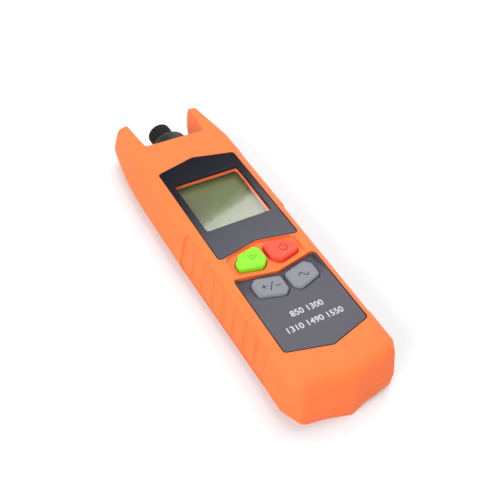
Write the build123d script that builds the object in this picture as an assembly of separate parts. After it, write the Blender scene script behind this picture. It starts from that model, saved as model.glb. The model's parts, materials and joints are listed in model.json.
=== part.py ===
from build123d import *
from math import cos, radians, sin, tan
import os

os.makedirs("parts", exist_ok=True)

# Handheld optical power meter, lying on its back.
# X across the meter, Y along it towards the fibre port, Z up out of the display face.
# Origin: middle of the footprint, on the back face. Millimetres.

# Clearances
FIT = 0.05                  # plain fits, radial
SEAT_GAP = 0.22             # round a panel in its recess
RUN_GAP = 0.3               # between pieces that move past each other
KEY_GAP = 0.4               # round each key
CAP_GAP = 0.1               # cap to collar, and cap bore to adapter

# Panels
PANEL_HALF = 18.75
PANEL_THICKNESS = 1.0
PANEL_SINK = 0.1            # panel top below the face
PANEL_CORNER = 1.3
PANEL_POINT = 1.0           # rounding at the chevron points
INNER_RISE = 3.8            # chevrons on both sides of the key band
TOP_RISE = 4.45
BOTTOM_RISE = 5.0
LOWER_PANEL_DEPTH = 2.9     # the lower panel is a deep moulding
LOWER_PANEL_RIM = 1.5
SUNK_DEPTH = 2.0            # its ramp, at the key band
SUNK_LENGTH = 12.2          # from there up to the panel's face
SUNK_SIDE = 0.5             # panel left beside the ramp

# Display window
WINDOW_BORDER = 3.0         # panel beside the window
WINDOW_ABOVE_BAND = 16.6    # upper panel's lower side corners to the window
WINDOW_BELOW_TOP = 9.05     # window to the upper side corners
WINDOW_CORNER = 1.3
LENS_THICKNESS = 0.6        # it lies on the housing, under the panel
LENS_MARGIN = 1.3           # lens beyond the panel's window
LEDGE_WIDTH = 0.25          # housing seen under the lens, inside the panel's window
GLASS_GAP = 0.1             # round the lens and the display glass
DISPLAY_AIR = 1.6           # housing to display glass
DISPLAY_GLASS = 1.8
DISPLAY_MARGIN = 1.1        # glass beyond the window
FRAME_LIP = 0.2             # frame's opening beyond the window
FRAME_WALL = 1.4
STRIP_WIDTH = 2.0
STRIP_INSET = 0.6           # glass edge to strip
STRIP_END = 1.0             # strips shorter than the window, each end

# Lengths along the meter
BOTTOM_MARGIN = 23.5        # bottom tip to the lower panel's side corners
LOWER_PANEL_LENGTH = 39.2   # side corner to side corner
KEY_BAND = 11.7             # between the panels' side corners
PORT_END_LENGTH = 43.45     # upper panel's side corners to the horn tips
HORN_LENGTH = 20.8

# Housing across
WALL = 2.0
FACE_WALL = 2.0             # under the upper panel
KEY_WALL = 1.5              # under the lower panel, round the keys
PANEL_MARGIN = 0.95         # flat face beside the panels
BEVEL_WIDTH = 4.7
BEVEL_DROP = 3.7
BEVEL_SHARE = 0.7           # of the face's thickness kept under the bevel
FLANK_SPREAD = 3.2          # bevel's lower edge to the widest line
WAIST_TAPER = 1.4           # each side, widest part to bottom end
BASE_TUCK = 5.2             # back face inside the widest line
TUCK_LEAN = 1.3             # widest line to where the tuck starts
TUCK_Z = 2.6
PARTING_Z = 7.8             # joint between the two shells, on the widest line
SECTION_ROUNDING = [1.6, 2.0, 3.0, 2.0, 1.2]

# Port end, from the panel's point over the notch floor to the horn tips: face edge inside the
# bevel's lower edge, drop of the face, and how far the bevel's edge has moved in and risen and
# the widest line moved in
PORT_TAPER = [
    (2.7, 0.0, 0.0, 0.4, 0.1),
    (1.4, 0.7, 0.35, 0.6, 0.45),
    (1.5, 1.9, 1.0, 0.3, 1.2),
    (1.3, 2.35, 2.4, 0.0, 2.7),
    (1.1, 2.8, 4.1, -0.4, 5.0),
]

# Bottom end in plan, level by level: height, point inside the bottom tip, and the corner and the
# start of the flank, each as half width and distance from the bottom tip
END_PLAN = [
    (-0.2, 0.0, 18.6, 5.9, 23.0, 15.0),
    (TUCK_Z, 0.05, 20.7, 3.6, 25.4, 14.0),
    (PARTING_Z, 0.5, 21.3, 4.0, 26.7, 14.2),
]
END_SLANT = 0.2             # run per rise of the end face above the parting line
END_EDGE = 5.0              # height of the rounding between end face and display face
END_EDGE_RUN = 0.75         # its length, against its height
END_NARROWING = 0.26        # corners drawn in across, against along
END_CORNERS = [2.0, 3.2, 7.0]

# Grips on the flanks
GRIP_STEP = 0.55            # grip below the flank
GRIP_TOOTH = 0.6            # teeth below the grip, at the parting line
GRIP_TEETH = 7
GRIP_PITCH = 8.45
GRIP_STEEP = 0.6            # length of a tooth's steep side
GRIP_SLANT = 13.0           # degrees, teeth against the vertical
GRIP_LEAN = 12.7            # degrees, tooth floor against the vertical
GRIP_ABOVE_BAND = 17.9      # upper panel's side corners to the grip, at the parting line
GRIP_LEDGE = 3.0            # ledge over the grip, outside the flat face

# Key band
DISH_DEPTH = 1.2
DISH_SIDE = 2.25            # panel edge to the dish
DISH_RIM = 0.65             # housing left between the upper panel and the dish
DISH_LIP = 0.8              # housing left between the dish and the lower panel
DISH_DRAFT = 0.6            # lean of its steep sides
DISH_RAMP = 2.0             # its sloping lower side
DISH_CORNER = 1.2

# Keys: corners of the two left hand ones, from the centre line and from the lower panel's side
# corners, each with its rounding
COLOUR_KEY = [(-0.9, 12.5), (-10.7, 10.7), (-14.2, 6.8), (-14.0, 2.9), (-4.1, 0.4), (-0.9, 4.0)]
COLOUR_KEY_ROUNDING = [2.7, 2.6, 2.2, 1.9, 2.2, 2.2]
GREY_KEY = [(-11.5, -3.7), (-14.3, -6.2), (-14.3, -12.9), (-3.6, -16.2), (-0.85, -13.8), (-0.85, -6.3)]
GREY_KEY_ROUNDING = [2.0, 1.9, 1.9, 2.0, 1.8, 1.9]
KEY_PROUD = 1.0             # key top above the face
KEY_EDGE = 1.1              # rounding of the key top
KEY_FLANGE = 0.65           # flange beyond the key's outline
KEY_FLANGE_THICKNESS = 1.0
KEY_TRAVEL = 0.6
KEY_FLOOR_GAP = 0.2         # left under the key when it is pressed
MEMBRANE_THICKNESS = 0.7
MEMBRANE_LENGTH_BELOW = 19.0    # lower panel's side corners to its end
MEMBRANE_LENGTH_ABOVE = 1.0     # upper panel's side corners to its other end
MEMBRANE_CORNER = 2.0
DOME_RADIUS = 2.5
DOME_HEIGHT = 0.35

# Boards and chip
BOARD_THICKNESS = 1.6
BOARD_SIDE_GAP = 0.1
BOARD_END_MARGIN = 27.0     # bottom tip to the board
BOARD_PORT_MARGIN = 17.2    # board to the notch floor
BOARD_CORNER = 1.5
BOARD_SCREW_INSET = 4.5
BOARD_SCREW_EDGE = 2.2
BOARD_SCREW_RADIUS = 0.75
BOARD_SCREW_HEAD = 1.8
BOARD_SCREW_HEAD_HEIGHT = 1.2
BOARD_SCREW_BITE = 3.0
BOARD_BOSS_RADIUS = 2.3
CHIP_SIDE = 12.0
CHIP_HEIGHT = 1.5
CHIP_PINS = 5
CHIP_PIN_REACH = 1.4
CHIP_PIN_WIDTH = 0.8
CHIP_PIN_HEIGHT = 0.5

# Fibre port
PORT_Z = 10.75
COLLAR_RADIUS = 9.2
COLLAR_LENGTH = 7.4
COLLAR_EDGE = 1.3
FINGER_ROOM = 6.0           # collar to horn
NOTCH_DRAFT = 1.4           # each side, over the horns' length
NOTCH_CORNER = 1.6
NOSE_RADIUS = 17.0          # rounding of the horns in side view
NOSE_Z = 12.6
NOSE_SLANT = 10.0           # degrees, in plan
PORT_WALL = 2.6
NECK_RADIUS = 6.5
NECK_PROUD = 0.4            # neck beyond the nut
NUT_ACROSS = 15.0
NUT_THICKNESS = 2.0
ADAPTER_RADIUS = 4.0
ADAPTER_PROUD = 8.0         # adapter beyond the collar
ADAPTER_BORE = 1.0
ADAPTER_FLANGE = 1.8        # its flange, larger in radius
ADAPTER_FLANGE_LENGTH = 1.6
MOUTH_RADIUS = 2.9
MOUTH_DEPTH = 3.0
SLEEVE_OUTER = 1.6
SLEEVE_BORE = 1.26
SLEEVE_LENGTH = 14.0
CAP_RADIUS = 5.7
CAP_LENGTH = 10.8
CAP_EDGE = 0.9
CAP_ROOM = 0.4              # inside the cap, beyond the adapter
CAP_RIBS = 20
CAP_GROOVE = 0.45
CAP_GROOVE_WIDTH = 0.9
CAP_GROOVE_BACK = 1.2       # plain ring left at the collar
CAP_GROOVE_FRONT = 1.0
DIODE_RADIUS = 2.35
DIODE_RIM = 0.45
DIODE_RIM_LENGTH = 0.6
DIODE_LENGTH = 3.6
DIODE_GAP = 0.1
DIODE_WINDOW = 1.2
LEAD_PITCH = 1.3
LEAD_SIDE = 0.5
LEAD_INSET = 2.5            # board edge to the leads
LEAD_HOLE = 0.45
LEAD_PROUD = 0.4

# Batteries and their door
CELL_RADIUS = 5.2
CELL_LENGTH = 44.0
CELL_NUB = 1.0
CELL_NUB_RADIUS = 1.9
CELL_GAP = 0.4              # cell to cell, to wall, to door and to roof
CELL_FIT = 0.1              # cell to contact at each end
SPRING_ROOM = 5.0
SPRING_BEND = 0.35          # thickness of the contact springs
SPRING_HALF = 2.0
SPRING_FOOT = 3.2
SPRING_TIP = 1.0
CONTACT_THICKNESS = 0.4
CONTACT_HALF = 3.5
BAY_END_MARGIN = 22.5       # bottom tip to the bay
BAY_WALL = 1.2
BAY_ROOF = 1.0
BAY_BOARD_GAP = 0.2
DOOR_THICKNESS = 1.6
DOOR_SINK = 0.2             # door outside below the back face
DOOR_LAP = 1.6              # recess beyond the bay on each side
DOOR_FRAME = 2.4            # thicker housing round the door
DOOR_FRAME_ROOF = 1.0
DOOR_RIBS = 5
DOOR_RIB_PITCH = 2.2
DOOR_RIB_WIDTH = 1.0
DOOR_RIB_HALF = 6.0
DOOR_RIB_DEPTH = 0.5
DOOR_RIB_MARGIN = 7.0
FINGER_RADIUS = 6.0         # nail recess at the free end of the door
FINGER_DEPTH = 0.7
HINGE_PIN_RADIUS = 0.6
HINGE_PIN_LENGTH = 1.5

# Case screws
CASE_SCREW_X = 15.5
CASE_SCREW_DOOR_MARGIN = 3.4    # lower pair to the door's recess
CASE_SCREW_PORT_MARGIN = 8.1    # upper pair to the inside of the port wall
SCREW_HEAD_RADIUS = 2.5
SCREW_HEAD_HEIGHT = 1.7
SCREW_SEAT_Z = 2.4          # underside of the screw head
SCREW_SHANK_RADIUS = 1.2
SCREW_BITE = 7.0            # shank beyond the parting line
SCREW_HOLE_ROOM = 0.5       # hole beyond the screw's end
SCREW_BOSS_RADIUS = 3.0
SCREW_SLEEVE = 0.4          # lower boss wider than the upper one

# Heights that follow, from the back face up
BAY_TOP = DOOR_SINK + DOOR_THICKNESS + 2 * CELL_GAP + 2 * CELL_RADIUS
CELL_Z = DOOR_SINK + DOOR_THICKNESS + CELL_GAP + CELL_RADIUS
DOOR_RECESS_TOP = DOOR_SINK + DOOR_THICKNESS + RUN_GAP
BOARD_BASE = BAY_TOP + BAY_ROOF + BAY_BOARD_GAP
BOARD_TOP = BOARD_BASE + BOARD_THICKNESS
MEMBRANE_TOP = BOARD_TOP + MEMBRANE_THICKNESS
KEY_BASE = MEMBRANE_TOP + KEY_FLOOR_GAP + KEY_TRAVEL
KEY_CEILING = KEY_BASE + KEY_FLANGE_THICKNESS + RUN_GAP
FACE_Z = KEY_CEILING + KEY_WALL + LOWER_PANEL_DEPTH
PANEL_TOP = FACE_Z - PANEL_SINK
DISPLAY_CEILING = FACE_Z - PANEL_THICKNESS - FACE_WALL
PANEL_BASE = PANEL_TOP - PANEL_THICKNESS
LOWER_PANEL_BASE = FACE_Z - LOWER_PANEL_DEPTH
LENS_BASE = PANEL_BASE - LENS_THICKNESS
GLASS_TOP = DISPLAY_CEILING - DISPLAY_AIR
GLASS_BASE = GLASS_TOP - DISPLAY_GLASS

# Places that follow, along the meter
WINDOW_SIDE = 2 * (PANEL_HALF - WINDOW_BORDER)
UPPER_PANEL_LENGTH = WINDOW_ABOVE_BAND + WINDOW_SIDE + WINDOW_BELOW_TOP
LENGTH = BOTTOM_MARGIN + LOWER_PANEL_LENGTH + KEY_BAND + UPPER_PANEL_LENGTH + PORT_END_LENGTH
END_Y = -LENGTH / 2
TIP_Y = LENGTH / 2
LOWER_PANEL_END = END_Y + BOTTOM_MARGIN
BAND_LOW = LOWER_PANEL_END + LOWER_PANEL_LENGTH
BAND_HIGH = BAND_LOW + KEY_BAND
UPPER_PANEL_END = BAND_HIGH + UPPER_PANEL_LENGTH
WINDOW_Y = BAND_HIGH + WINDOW_ABOVE_BAND + WINDOW_SIDE / 2
GRIP_HIGH = BAND_HIGH + GRIP_ABOVE_BAND
NOTCH_Y = TIP_Y - HORN_LENGTH
PORT_INSIDE = NOTCH_Y - PORT_WALL
NECK_END = PORT_INSIDE - NUT_THICKNESS - NECK_PROUD
COLLAR_FRONT = NOTCH_Y + COLLAR_LENGTH
ADAPTER_FRONT = COLLAR_FRONT + ADAPTER_PROUD
ADAPTER_BACK = NECK_END - ADAPTER_FLANGE_LENGTH
SLEEVE_BACK = ADAPTER_FRONT - MOUTH_DEPTH - SLEEVE_LENGTH
BOARD_LOW = END_Y + BOARD_END_MARGIN
BOARD_HIGH = NOTCH_Y - BOARD_PORT_MARGIN
LEAD_Y = BOARD_HIGH - LEAD_INSET
BAY_LOW = END_Y + BAY_END_MARGIN
CELL_LOW = BAY_LOW + CONTACT_THICKNESS + CELL_FIT
CELL_HIGH = CELL_LOW + CELL_LENGTH + SPRING_ROOM
BAY_HIGH = CELL_HIGH + CELL_FIT + CONTACT_THICKNESS

# Places that follow, across the meter
FACE_HALF = PANEL_HALF + PANEL_MARGIN
CREASE_HALF = FACE_HALF + BEVEL_WIDTH
HALF_WIDTH = CREASE_HALF + FLANK_SPREAD
NOTCH_HALF = COLLAR_RADIUS + FINGER_ROOM
CELL_PITCH = 2 * CELL_RADIUS + CELL_GAP
BAY_HALF = CELL_PITCH + CELL_RADIUS + CELL_GAP
DOOR_HALF = BAY_HALF + DOOR_LAP - RUN_GAP
HINGE_Y = BAY_HIGH + DOOR_LAP - RUN_GAP - DOOR_THICKNESS / 2
HINGE_Z = DOOR_SINK + DOOR_THICKNESS / 2
LEADS_X = (-LEAD_PITCH, 0.0, LEAD_PITCH)


def both_sides(right_half):
    """Closed outline from the points of its right half, listed from one end to the other."""
    return right_half + [(-x, y) for x, y in reversed(right_half) if x > 0]


def rectangle(half, y0, y1):
    return [(half, y0), (half, y1), (-half, y1), (-half, y0)]


def plan(points, radii=0.0, z=0.0):
    """Flat face in plan from corner points, each with its own rounding."""
    outline = FilletPolyline(*[(x, y, z) for x, y in points], radius=radii, close=True)
    return make_face(outline.edges())


def prism(points, radii, z0, z1):
    """Straight prism over a plan outline."""
    return extrude(plan(points, radii, z0), amount=z1 - z0, dir=(0, 0, 1))


def side_prism(points, x0, x1):
    """Straight prism across the meter over an outline of (y, z) points."""
    face = Face(Wire.make_polygon([(x0, y, z) for y, z in points], close=True))
    return extrude(face, amount=x1 - x0, dir=(1, 0, 0))


def block(x0, x1, y0, y1, z0, z1):
    """Box between two corners."""
    return Pos((x0 + x1) / 2, (y0 + y1) / 2, (z0 + z1) / 2) * Box(x1 - x0, y1 - y0, z1 - z0)


def rod(radius, y0, y1, x=0.0, z=PORT_Z):
    """Round bar along Y."""
    return Pos(x, (y0 + y1) / 2, z) * Rot(90, 0, 0) * Cylinder(radius, y1 - y0)


def post(radius, x, y, z0, z1):
    """Round bar along Z."""
    return Pos(x, y, (z0 + z1) / 2) * Cylinder(radius, z1 - z0)


def mirrored(shape):
    """The same shape on the other side of the centre line."""
    return mirror(shape, about=Plane.YZ)


def stations():
    """Cross sections: place, face edge, face drop, bevel's lower edge, its drop, half width."""
    slim = (FACE_HALF, 0.0, CREASE_HALF - WAIST_TAPER / 2, BEVEL_DROP, HALF_WIDTH - WAIST_TAPER)
    wide = (FACE_HALF, 0.0, CREASE_HALF, BEVEL_DROP, HALF_WIDTH)
    rows = [
        (END_Y - WALL, *slim),
        (LOWER_PANEL_END, *slim),
        (GRIP_HIGH, *wide),
        (UPPER_PANEL_END - TOP_RISE / 2, *wide),
    ]
    shoulder = UPPER_PANEL_END + TOP_RISE + 1.0
    places = [shoulder, (shoulder + NOTCH_Y) / 2, NOTCH_Y, (NOTCH_Y + TIP_Y) / 2, TIP_Y + WALL]
    for y, (inset, drop, crease_in, crease_up, width_in) in zip(places, PORT_TAPER):
        crease = CREASE_HALF - crease_in
        rows.append((y, crease - inset, drop, crease, BEVEL_DROP - crease_up, HALF_WIDTH - width_in))
    return rows


def section(station, wall, ceiling):
    """Cross section of the housing; with a wall it is the sharp-cornered form inside it."""
    y, flat, drop, crease, crease_drop, half = station
    side = [
        (flat - wall / 2, FACE_Z - drop - ceiling),
        (crease - wall, FACE_Z - crease_drop - ceiling * BEVEL_SHARE),
        (half - wall, PARTING_Z),
        (half - TUCK_LEAN - wall, TUCK_Z + wall / 2),
        (half - BASE_TUCK - wall / 2, wall),
    ]
    points = [(x, y, z) for x, z in both_sides(side)]
    if wall:
        return Wire.make_polygon(points, close=True)
    radii = SECTION_ROUNDING + SECTION_ROUNDING[::-1]
    return Wire(FilletPolyline(*points, radius=radii, close=True).edges())


def drawn_in(level, z, inset):
    """A plan level of the bottom end, moved up and drawn in."""
    _, tip, corner_x, corner_y, flank_x, flank_y = level
    narrow = END_NARROWING * inset
    return z, tip + inset, corner_x - narrow, corner_y + inset, flank_x - narrow, flank_y + inset


def end_levels(wall, ceiling):
    """Plan levels of the bottom end, up to its rounding into the display face."""
    levels = []
    for z, tip, corner_x, corner_y, flank_x, flank_y in END_PLAN:
        across = wall / 2
        levels.append((z, tip + wall, corner_x - across, corner_y + wall, flank_x - across, flank_y + wall))
    foot = levels[-1]
    edge_z = FACE_Z - ceiling - END_EDGE
    inset = 0.0
    for angle in (0, 25, 45, 65, 80):
        z = edge_z + END_EDGE * sin(radians(angle))
        inset = END_SLANT * (z - PARTING_Z) + END_EDGE_RUN * END_EDGE * (1 - cos(radians(angle)))
        levels.append(drawn_in(foot, z, inset))
    levels.append(drawn_in(foot, FACE_Z + WALL, inset + 2 * WALL))
    return levels


def bottom_end(wall, ceiling):
    """Body that gives the housing its pointed bottom end with cut corners."""
    wires = []
    beside = 2 * HALF_WIDTH
    beyond = TIP_Y + 2 * WALL + HORN_LENGTH
    for z, tip, corner_x, corner_y, flank_x, flank_y in end_levels(wall, ceiling):
        right = [(0, END_Y + tip), (corner_x, END_Y + corner_y), (flank_x, END_Y + flank_y)]
        right += [(beside, END_Y + flank_y + HALF_WIDTH), (beside, beyond)]
        points = [(x, y, z) for x, y in both_sides(right)]
        if wall:
            wires.append(Wire.make_polygon(points, close=True))
        else:
            point, corner, flank = END_CORNERS
            radii = [point, corner, flank, 0.0, 0.0, 0.0, 0.0, flank, corner]
            wires.append(Wire(FilletPolyline(*points, radius=radii, close=True).edges()))
    return Solid.make_loft(wires, ruled=True)


def long_form(wall, ceiling):
    """Form of the housing along its length, open at the bottom end."""
    return Part() + Solid.make_loft([section(s, wall, ceiling) for s in stations()], ruled=True)


def envelope(wall=0.0, ceiling=0.0):
    """Whole housing as one solid, or the space inside it."""
    return long_form(wall, ceiling) & bottom_end(wall, ceiling)


def cavity():
    """Space inside the housing, with a thicker face under the keys and solid horns."""
    space = envelope(WALL, FACE_Z - DISPLAY_CEILING)
    space &= block(-HALF_WIDTH, HALF_WIDTH, END_Y, PORT_INSIDE, 0, FACE_Z)
    return space - block(-HALF_WIDTH, HALF_WIDTH, END_Y, BAND_HIGH + INNER_RISE, KEY_CEILING, FACE_Z)


def notch():
    """Gap between the horns."""
    reach = HORN_LENGTH + COLLAR_RADIUS
    mouth = NOTCH_HALF + NOTCH_DRAFT * reach / HORN_LENGTH
    points = both_sides([(NOTCH_HALF, NOTCH_Y), (mouth, NOTCH_Y + reach)])
    return prism(points, [NOTCH_CORNER, 0, 0, NOTCH_CORNER], -WALL, FACE_Z + WALL)


def horn_ends():
    """What is cut away so that the horns end in slightly slanted, rounded noses."""
    reach = 2 * NOSE_RADIUS
    beyond = block(-NOSE_RADIUS, reach, 0, reach, NOSE_Z - reach, NOSE_Z + reach)
    cutter = beyond - Pos(0, 0, NOSE_Z) * Rot(0, 90, 0) * Cylinder(NOSE_RADIUS, 3 * reach)
    slant = radians(NOSE_SLANT)
    middle = (NOTCH_HALF - NOSE_RADIUS * sin(slant), TIP_Y - NOSE_RADIUS * cos(slant), 0)
    right = Pos(*middle) * Rot(0, 0, -NOSE_SLANT) * cutter
    right &= block(NOTCH_HALF / 2, 3 * NOTCH_HALF, 0, 2 * TIP_Y, -WALL, FACE_Z + WALL)
    return right + mirrored(right)


def grip_slant(y, z):
    """Place of a slanted line of the grip at a height, from its place at the parting line."""
    return y + tan(radians(GRIP_SLANT)) * (z - PARTING_Z)


def grips():
    """What is cut from the left flank: a sunk strip under a ledge, with slanted saw teeth in it."""
    low = GRIP_HIGH - (GRIP_TEETH + 1) * GRIP_PITCH
    outline = [(grip_slant(y, z), z) for y, z in (
        (GRIP_HIGH, TUCK_Z), (GRIP_HIGH, FACE_Z), (low, FACE_Z), (low, TUCK_Z),
    )]
    strip = side_prism(outline, -HALF_WIDTH - WALL, -FACE_HALF - GRIP_LEDGE)
    cut = strip - long_form(GRIP_STEP, GRIP_STEP)
    tooth = [
        (-WALL, 0), (0, 0), (GRIP_TOOTH, GRIP_PITCH - GRIP_STEEP), (0, GRIP_PITCH), (-WALL, GRIP_PITCH),
    ]
    wedge = prism(tooth, 0.0, -PARTING_Z, FACE_Z - PARTING_Z)
    for i in range(GRIP_TEETH):
        y = GRIP_HIGH - (i + 2) * GRIP_PITCH
        taper = WAIST_TAPER * (GRIP_HIGH - y) / (GRIP_HIGH - LOWER_PANEL_END)
        place = Pos(taper + GRIP_STEP - HALF_WIDTH, y, PARTING_Z)
        cut += (place * Rot(0, GRIP_LEAN, 0) * Rot(-GRIP_SLANT, 0, 0) * wedge) & strip
    return cut


def housing():
    """Outer form of both shells together."""
    grip = grips()
    return envelope() - notch() - horn_ends() - grip - mirrored(grip)


def chevrons(half, low, low_rise, high, high_rise):
    """Six-sided panel outline between two side corners, with a point at each end."""
    right = [(half, low), (half, high)]
    left = [(-half, high), (-half, low)]
    return right + [(0, high + high_rise)] + left + [(0, low + low_rise)]


def upper_panel_outline(grow=0.0):
    return chevrons(PANEL_HALF + grow, BAND_HIGH - grow, INNER_RISE, UPPER_PANEL_END + grow, TOP_RISE)


def lower_panel_outline(grow=0.0):
    low = LOWER_PANEL_END - grow
    return chevrons(PANEL_HALF + grow, low, -BOTTOM_RISE, BAND_LOW + grow, -INNER_RISE)


PANEL_ROUNDING = [PANEL_CORNER, PANEL_CORNER, PANEL_POINT, PANEL_CORNER, PANEL_CORNER, PANEL_POINT]


def window_outline(grow=0.0):
    half = WINDOW_SIDE / 2 + grow
    return rectangle(half, WINDOW_Y - half, WINDOW_Y + half)


def dish_ring(side, top, low, z):
    """Outline of the dish at one height, with its four outer corners cut."""
    slope = INNER_RISE / PANEL_HALF
    shoulder = side - DISH_CORNER
    right = [
        (0, low), (shoulder, low + slope * shoulder), (side, low + slope * side + DISH_CORNER),
        (side, top - slope * side - DISH_CORNER), (shoulder, top - slope * shoulder), (0, top),
    ]
    return Wire.make_polygon([(x, y, z) for x, y in both_sides(right)], close=True)


def dish():
    """Sunk hexagon of the key band, with a steep upper side and a ramp on the lower side."""
    half = PANEL_HALF - DISH_SIDE
    top = BAND_HIGH + INNER_RISE - DISH_RIM
    low = BAND_LOW - INNER_RISE + DISH_LIP
    rings = []
    for step in (-1, 0, 1):
        draft = step * DISH_DRAFT
        z = FACE_Z + step * DISH_DEPTH
        rings.append(dish_ring(half + draft, top + draft / 2, low - step * DISH_RAMP, z))
    return Part() + Solid.make_loft(rings, ruled=True)


KEYS = [
    ("key_backlight", COLOUR_KEY, COLOUR_KEY_ROUNDING, 1),
    ("key_power", COLOUR_KEY, COLOUR_KEY_ROUNDING, -1),
    ("key_reference", GREY_KEY, GREY_KEY_ROUNDING, 1),
    ("key_wavelength", GREY_KEY, GREY_KEY_ROUNDING, -1),
]


def key_prism(points, radii, side, grow, z0, z1):
    """Prism over a key's outline, larger all round by grow; side -1 is the right hand key."""
    outline = plan([(side * x, BAND_LOW + y) for x, y in points], radii, z0)
    if grow:
        outline = offset(outline, grow, kind=Kind.ARC)
    return extrude(outline, amount=z1 - z0, dir=(0, 0, 1))


def key_holes():
    holes = Part()
    for _, points, radii, side in KEYS:
        holes += key_prism(points, radii, side, KEY_GAP, BOARD_TOP, FACE_Z + WALL)
    return holes


def key_centres():
    """Middle of each key, where its dome lies."""
    centres = []
    for _, points, _, side in KEYS:
        xs = [x for x, _ in points]
        ys = [y for _, y in points]
        centres.append((side * (min(xs) + max(xs)) / 2, BAND_LOW + (min(ys) + max(ys)) / 2))
    return centres


def case_screw_places():
    low = BAY_LOW - DOOR_LAP - CASE_SCREW_DOOR_MARGIN
    high = PORT_INSIDE - CASE_SCREW_PORT_MARGIN
    return [(x, y) for y in (low, high) for x in (-CASE_SCREW_X, CASE_SCREW_X)]


def inner_half(z):
    """Half width of the narrowest space inside, between the parting line and the bevel."""
    bevel_z = FACE_Z - BEVEL_DROP - BEVEL_SHARE * (FACE_Z - DISPLAY_CEILING)
    spread = FLANK_SPREAD - WAIST_TAPER / 2
    return HALF_WIDTH - WAIST_TAPER - WALL - spread * (z - PARTING_Z) / (bevel_z - PARTING_Z)


BOARD_HALF = inner_half(BOARD_TOP) - BOARD_SIDE_GAP


def board_screw_places():
    x = BOARD_HALF - BOARD_SCREW_EDGE
    ys = (BOARD_LOW + BOARD_SCREW_INSET, BOARD_HIGH - BOARD_SCREW_INSET)
    return [(side * x, y) for y in ys for side in (-1, 1)]


def port_bore():
    return rod(NECK_RADIUS + FIT, PORT_INSIDE - PORT_WALL, NOTCH_Y + PORT_WALL)


def front_shell(outer, space):
    body = outer & block(-HALF_WIDTH, HALF_WIDTH, END_Y, TIP_Y, PARTING_Z, FACE_Z)
    body -= space
    body -= prism(upper_panel_outline(SEAT_GAP), PANEL_ROUNDING, PANEL_BASE, FACE_Z + WALL)
    body -= prism(lower_panel_outline(SEAT_GAP), PANEL_ROUNDING, LOWER_PANEL_BASE, FACE_Z + WALL)
    body -= prism(window_outline(-LEDGE_WIDTH), WINDOW_CORNER, PARTING_Z, FACE_Z)
    body -= prism(window_outline(LENS_MARGIN + GLASS_GAP), WINDOW_CORNER, LENS_BASE, FACE_Z)
    body -= dish()
    body -= key_holes()
    body -= port_bore()
    for x, y in case_screw_places():
        body += post(SCREW_BOSS_RADIUS, x, y, PARTING_Z, DISPLAY_CEILING)
        body -= post(SCREW_SHANK_RADIUS + FIT, x, y, 0, PARTING_Z + SCREW_BITE + SCREW_HOLE_ROOM)
    for x, y in board_screw_places():
        body += post(BOARD_BOSS_RADIUS, x, y, BOARD_TOP, DISPLAY_CEILING)
        body -= post(BOARD_SCREW_RADIUS + FIT, x, y, 0, BOARD_TOP + BOARD_SCREW_BITE + SCREW_HOLE_ROOM)
    return body


def back_shell(outer, space):
    body = outer & block(-HALF_WIDTH, HALF_WIDTH, END_Y, TIP_Y, 0, PARTING_Z)
    body -= space
    for x, y in case_screw_places():
        body += post(SCREW_BOSS_RADIUS + SCREW_SLEEVE, x, y, WALL, PARTING_Z)
    half = BAY_HALF + DOOR_LAP
    low = BAY_LOW - DOOR_LAP
    high = BAY_HIGH + DOOR_LAP
    framed = rectangle(half + DOOR_FRAME, low - DOOR_FRAME, high + DOOR_FRAME)
    body += prism(framed, 0.0, WALL / 4, DOOR_RECESS_TOP + DOOR_FRAME_ROOF)
    bay = rectangle(BAY_HALF + BAY_WALL, BAY_LOW - BAY_WALL, BAY_HIGH + BAY_WALL)
    body += prism(bay, 0.0, WALL / 4, BAY_TOP + BAY_ROOF)
    body -= block(-BAY_HALF, BAY_HALF, BAY_LOW, BAY_HIGH, -WALL, BAY_TOP)
    body -= block(-half, half, low, high, -WALL, DOOR_RECESS_TOP)
    pin_reach = DOOR_HALF + HINGE_PIN_LENGTH + RUN_GAP
    body -= Pos(0, HINGE_Y, HINGE_Z) * Rot(0, 90, 0) * Cylinder(HINGE_PIN_RADIUS + FIT, 2 * pin_reach)
    body -= post(FINGER_RADIUS, 0, low, -FINGER_DEPTH, FINGER_DEPTH)
    for x, y in case_screw_places():
        body -= post(SCREW_HEAD_RADIUS + RUN_GAP, x, y, -WALL, SCREW_SEAT_Z)
        body -= post(SCREW_SHANK_RADIUS + FIT, x, y, -WALL, PARTING_Z + WALL)
    return body - port_bore()


def case_screws():
    screws = Part()
    for x, y in case_screw_places():
        head = post(SCREW_HEAD_RADIUS, x, y, SCREW_SEAT_Z - SCREW_HEAD_HEIGHT, SCREW_SEAT_Z)
        screws += head + post(SCREW_SHANK_RADIUS, x, y, SCREW_SEAT_Z - FIT, PARTING_Z + SCREW_BITE)
    return screws


def upper_panel():
    plate = prism(upper_panel_outline(), PANEL_ROUNDING, PANEL_BASE, PANEL_TOP)
    return plate - prism(window_outline(), WINDOW_CORNER, DISPLAY_CEILING, FACE_Z)


def lower_panel():
    """Deep panel with a ramp down to the key band and a hollow under its plain part."""
    plate = prism(lower_panel_outline(), PANEL_ROUNDING, LOWER_PANEL_BASE, PANEL_TOP)
    ramp_start = BAND_LOW - SUNK_LENGTH
    reach = KEY_BAND / 2
    deep = SUNK_DEPTH * (SUNK_LENGTH + reach) / SUNK_LENGTH
    ramp = [(ramp_start, FACE_Z), (BAND_LOW + reach, FACE_Z - deep), (BAND_LOW + reach, FACE_Z)]
    side = PANEL_HALF - SUNK_SIDE
    plate -= side_prism(ramp, -side, side)
    half = PANEL_HALF - LOWER_PANEL_RIM
    low = LOWER_PANEL_END + LOWER_PANEL_RIM / 2
    hollow = both_sides([(0, low - BOTTOM_RISE), (half, low), (half, BAND_LOW - MEMBRANE_LENGTH_BELOW)])
    plate -= prism(hollow, 0.0, LOWER_PANEL_BASE - WALL, PANEL_BASE)
    return plate - key_holes()


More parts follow.
